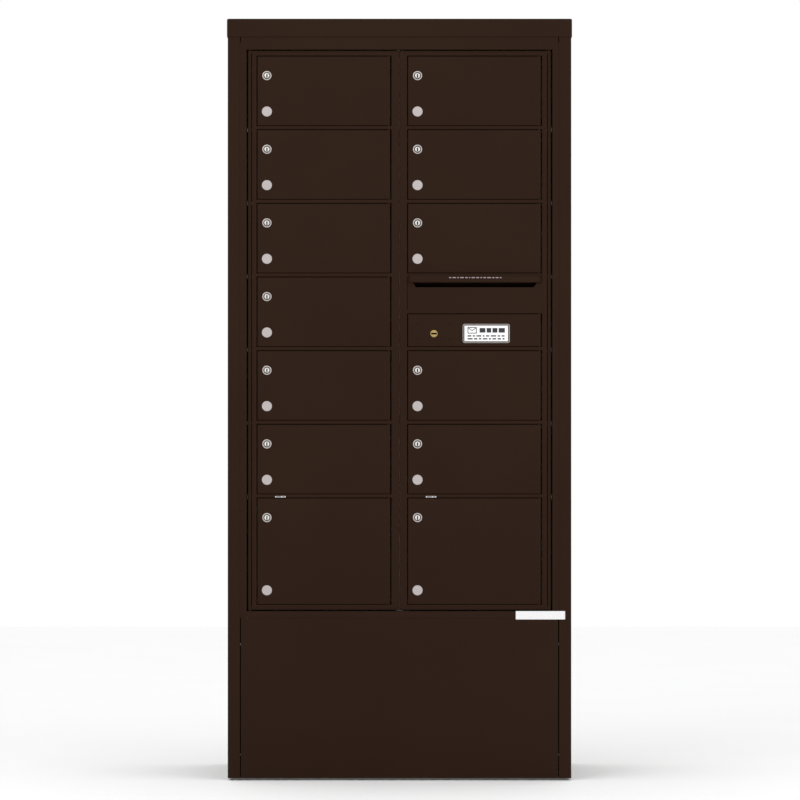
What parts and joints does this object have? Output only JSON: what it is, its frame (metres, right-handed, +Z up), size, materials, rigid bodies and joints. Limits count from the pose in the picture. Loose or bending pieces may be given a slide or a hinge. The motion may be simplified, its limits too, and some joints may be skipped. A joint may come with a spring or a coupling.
{
  "type": "cluster mailbox unit",
  "caption": "Floor-standing cluster mailbox: a sheet-metal cabinet with a two-column module of lockable tenant doors, an outgoing slot and a carrier's door.",
  "frame": {"origin": "centre of the footprint, on the floor", "axes": "+Z up, the front with its doors faces -Y, +X is right as seen from the front"},
  "size_m": [0.833, 0.512, 1.8379],
  "materials": {
    "cabinet_paint": "powder coat, fine texture, dark bronze",
    "door_paint": "powder coat, fine texture, dark bronze",
    "inner_sheet": "mill finish",
    "base_steel": "grey primer",
    "bare_steel": "zinc plated",
    "lock_metal": "satin nickel plate",
    "lock_brass": "satin brass"
  },
  "bodies": {
    "cabinet": {"left_side_panel": "cabinet_paint", "right_side_panel": "cabinet_paint", "top_cap": "cabinet_paint", "rear_panel": "cabinet_paint", "lower_front_panel": "cabinet_paint", "base_frame": "base_steel", "surround_trim": "cabinet_paint", "cabinet_screws": "bare_steel", "module_shell": "inner_sheet", "shelves_and_strikes": "inner_sheet"},
    "left_master_door": {"left_door_frame": "door_paint", "left_hinge_rods": "bare_steel"},
    "left_latch": {"left_latch_bar": "bare_steel"},
    "left_door_1": {"left_door_1": "door_paint", "left_lock_1": "lock_metal"},
    "left_cam_1": {"left_cam_1": "lock_metal"},
    "left_door_2": {"left_door_2": "door_paint", "left_lock_2": "lock_metal"},
    "left_cam_2": {"left_cam_2": "lock_metal"},
    "left_door_3": {"left_door_3": "door_paint", "left_lock_3": "lock_metal"},
    "left_cam_3": {"left_cam_3": "lock_metal"},
    "left_door_4": {"left_door_4": "door_paint", "left_lock_4": "lock_metal"},
    "left_cam_4": {"left_cam_4": "lock_metal"},
    "left_door_5": {"left_door_5": "door_paint", "left_lock_5": "lock_metal"},
    "left_cam_5": {"left_cam_5": "lock_metal"},
    "left_door_6": {"left_door_6": "door_paint", "left_lock_6": "lock_metal"},
    "left_cam_6": {"left_cam_6": "lock_metal"},
    "left_door_7": {"left_door_7": "door_paint", "left_lock_7": "lock_metal"},
    "left_cam_7": {"left_cam_7": "lock_metal"},
    "right_master_door": {"right_door_frame": "door_paint", "right_hinge_rods": "bare_steel", "outgoing_slot_panel": "door_paint"},
    "right_latch": {"right_latch_bar": "bare_steel"},
    "right_door_1": {"right_door_1": "door_paint", "right_lock_1": "lock_metal"},
    "right_cam_1": {"right_cam_1": "lock_metal"},
    "right_door_2": {"right_door_2": "door_paint", "right_lock_2": "lock_metal"},
    "right_cam_2": {"right_cam_2": "lock_metal"},
    "right_door_3": {"right_door_3": "door_paint", "right_lock_3": "lock_metal"},
    "right_cam_3": {"right_cam_3": "lock_metal"},
    "right_door_4": {"right_door_4": "door_paint", "right_lock_4": "lock_metal"},
    "right_cam_4": {"right_cam_4": "lock_metal"},
    "right_door_5": {"right_door_5": "door_paint", "right_lock_5": "lock_metal"},
    "right_cam_5": {"right_cam_5": "lock_metal"},
    "right_door_6": {"right_door_6": "door_paint", "right_lock_6": "lock_metal"},
    "right_cam_6": {"right_cam_6": "lock_metal"},
    "arrow_door": {"arrow_door": "door_paint", "arrow_lock_case": "bare_steel"},
    "arrow_lock_plug": {"arrow_lock_plug": "lock_brass"},
    "arrow_lock_bolt": {"arrow_lock_bolt": "bare_steel"}
  },
  "joints": [
    {"name": "left_master_hinge", "type": "hinge", "parent": "cabinet", "child": "left_master_door", "pos_m": [-0.361, -0.244, 1.08625], "axis": [0, 0, -1], "range_deg": [0, 95]},
    {"name": "right_master_hinge", "type": "hinge", "parent": "cabinet", "child": "right_master_door", "pos_m": [0.361, -0.244, 1.08625], "axis": [0, 0, 1], "range_deg": [0, 95]},
    {"name": "left_door_1_hinge", "type": "hinge", "parent": "left_master_door", "child": "left_door_1", "pos_m": [-0.026, -0.244, 1.6641], "axis": [0, 0, 1], "range_deg": [0, 90]},
    {"name": "right_door_1_hinge", "type": "hinge", "parent": "right_master_door", "child": "right_door_1", "pos_m": [0.3375, -0.244, 1.6641], "axis": [0, 0, 1], "range_deg": [0, 90]},
    {"name": "left_door_7_hinge", "type": "hinge", "parent": "left_master_door", "child": "left_door_7", "pos_m": [-0.026, -0.244, 0.55285], "axis": [0, 0, 1], "range_deg": [0, 90]},
    {"name": "arrow_door_hinge", "type": "hinge", "parent": "right_master_door", "child": "arrow_door", "pos_m": [0.3375, -0.244, 1.08625], "axis": [0, 0, 1], "range_deg": [0, 90]},
    {"name": "arrow_lock_turn", "type": "hinge", "parent": "arrow_door", "child": "arrow_lock_plug", "pos_m": [0.0832, -0.248, 1.0782], "axis": [0, -1, 0], "range_deg": [0, 90]},
    {"name": "arrow_bolt_slide", "type": "slide", "parent": "arrow_door", "child": "arrow_lock_bolt", "axis": [-1, 0, 0], "range_m": [0, 0.012]},
    {"name": "left_latch_slide", "type": "slide", "parent": "left_master_door", "child": "left_latch", "axis": [0, 0, 1], "range_m": [0, 0.01]},
    {"name": "right_latch_slide", "type": "slide", "parent": "right_master_door", "child": "right_latch", "axis": [0, 0, 1], "range_m": [0, 0.01]},
    {"name": "left_cam_1_turn", "type": "hinge", "parent": "left_door_1", "child": "left_cam_1", "pos_m": [-0.32, -0.248, 1.701], "axis": [0, 1, 0], "range_deg": [0, 90]},
    {"name": "right_cam_1_turn", "type": "hinge", "parent": "right_door_1", "child": "right_cam_1", "pos_m": [0.0435, -0.248, 1.701], "axis": [0, 1, 0], "range_deg": [0, 90]},
    {"name": "left_door_2_hinge", "type": "hinge", "parent": "left_master_door", "child": "left_door_2", "pos_m": [-0.026, -0.244, 1.4863], "axis": [0, 0, 1], "range_deg": [0, 90]},
    {"name": "left_door_3_hinge", "type": "hinge", "parent": "left_master_door", "child": "left_door_3", "pos_m": [-0.026, -0.244, 1.3085], "axis": [0, 0, 1], "range_deg": [0, 90]},
    {"name": "left_door_4_hinge", "type": "hinge", "parent": "left_master_door", "child": "left_door_4", "pos_m": [-0.026, -0.244, 1.1307], "axis": [0, 0, 1], "range_deg": [0, 90]},
    {"name": "left_door_5_hinge", "type": "hinge", "parent": "left_master_door", "child": "left_door_5", "pos_m": [-0.026, -0.244, 0.9529], "axis": [0, 0, 1], "range_deg": [0, 90]},
    {"name": "left_door_6_hinge", "type": "hinge", "parent": "left_master_door", "child": "left_door_6", "pos_m": [-0.026, -0.244, 0.7751], "axis": [0, 0, 1], "range_deg": [0, 90]},
    {"name": "right_door_2_hinge", "type": "hinge", "parent": "right_master_door", "child": "right_door_2", "pos_m": [0.3375, -0.244, 1.4863], "axis": [0, 0, 1], "range_deg": [0, 90]},
    {"name": "right_door_3_hinge", "type": "hinge", "parent": "right_master_door", "child": "right_door_3", "pos_m": [0.3375, -0.244, 1.3085], "axis": [0, 0, 1], "range_deg": [0, 90]},
    {"name": "right_door_4_hinge", "type": "hinge", "parent": "right_master_door", "child": "right_door_4", "pos_m": [0.3375, -0.244, 0.9529], "axis": [0, 0, 1], "range_deg": [0, 90]},
    {"name": "right_door_5_hinge", "type": "hinge", "parent": "right_master_door", "child": "right_door_5", "pos_m": [0.3375, -0.244, 0.7751], "axis": [0, 0, 1], "range_deg": [0, 90]},
    {"name": "right_door_6_hinge", "type": "hinge", "parent": "right_master_door", "child": "right_door_6", "pos_m": [0.3375, -0.244, 0.55285], "axis": [0, 0, 1], "range_deg": [0, 90]},
    {"name": "left_cam_2_turn", "type": "hinge", "parent": "left_door_2", "child": "left_cam_2", "pos_m": [-0.32, -0.248, 1.5232], "axis": [0, 1, 0], "range_deg": [0, 90]},
    {"name": "left_cam_3_turn", "type": "hinge", "parent": "left_door_3", "child": "left_cam_3", "pos_m": [-0.32, -0.248, 1.3454], "axis": [0, 1, 0], "range_deg": [0, 90]},
    {"name": "left_cam_4_turn", "type": "hinge", "parent": "left_door_4", "child": "left_cam_4", "pos_m": [-0.32, -0.248, 1.1676], "axis": [0, 1, 0], "range_deg": [0, 90]},
    {"name": "left_cam_5_turn", "type": "hinge", "parent": "left_door_5", "child": "left_cam_5", "pos_m": [-0.32, -0.248, 0.9898], "axis": [0, 1, 0], "range_deg": [0, 90]},
    {"name": "left_cam_6_turn", "type": "hinge", "parent": "left_door_6", "child": "left_cam_6", "pos_m": [-0.32, -0.248, 0.812], "axis": [0, 1, 0], "range_deg": [0, 90]},
    {"name": "left_cam_7_turn", "type": "hinge", "parent": "left_door_7", "child": "left_cam_7", "pos_m": [-0.32, -0.248, 0.6342], "axis": [0, 1, 0], "range_deg": [0, 90]},
    {"name": "right_cam_2_turn", "type": "hinge", "parent": "right_door_2", "child": "right_cam_2", "pos_m": [0.0435, -0.248, 1.5232], "axis": [0, 1, 0], "range_deg": [0, 90]},
    {"name": "right_cam_3_turn", "type": "hinge", "parent": "right_door_3", "child": "right_cam_3", "pos_m": [0.0435, -0.248, 1.3454], "axis": [0, 1, 0], "range_deg": [0, 90]},
    {"name": "right_cam_4_turn", "type": "hinge", "parent": "right_door_4", "child": "right_cam_4", "pos_m": [0.0435, -0.248, 0.9898], "axis": [0, 1, 0], "range_deg": [0, 90]},
    {"name": "right_cam_5_turn", "type": "hinge", "parent": "right_door_5", "child": "right_cam_5", "pos_m": [0.0435, -0.248, 0.812], "axis": [0, 1, 0], "range_deg": [0, 90]},
    {"name": "right_cam_6_turn", "type": "hinge", "parent": "right_door_6", "child": "right_cam_6", "pos_m": [0.0435, -0.248, 0.6342], "axis": [0, 1, 0], "range_deg": [0, 90]}
  ],
  "couplings": [
    {"joint": "arrow_bolt_slide", "follows": "arrow_lock_turn", "m_per_rad": 0.0076394}
  ]
}
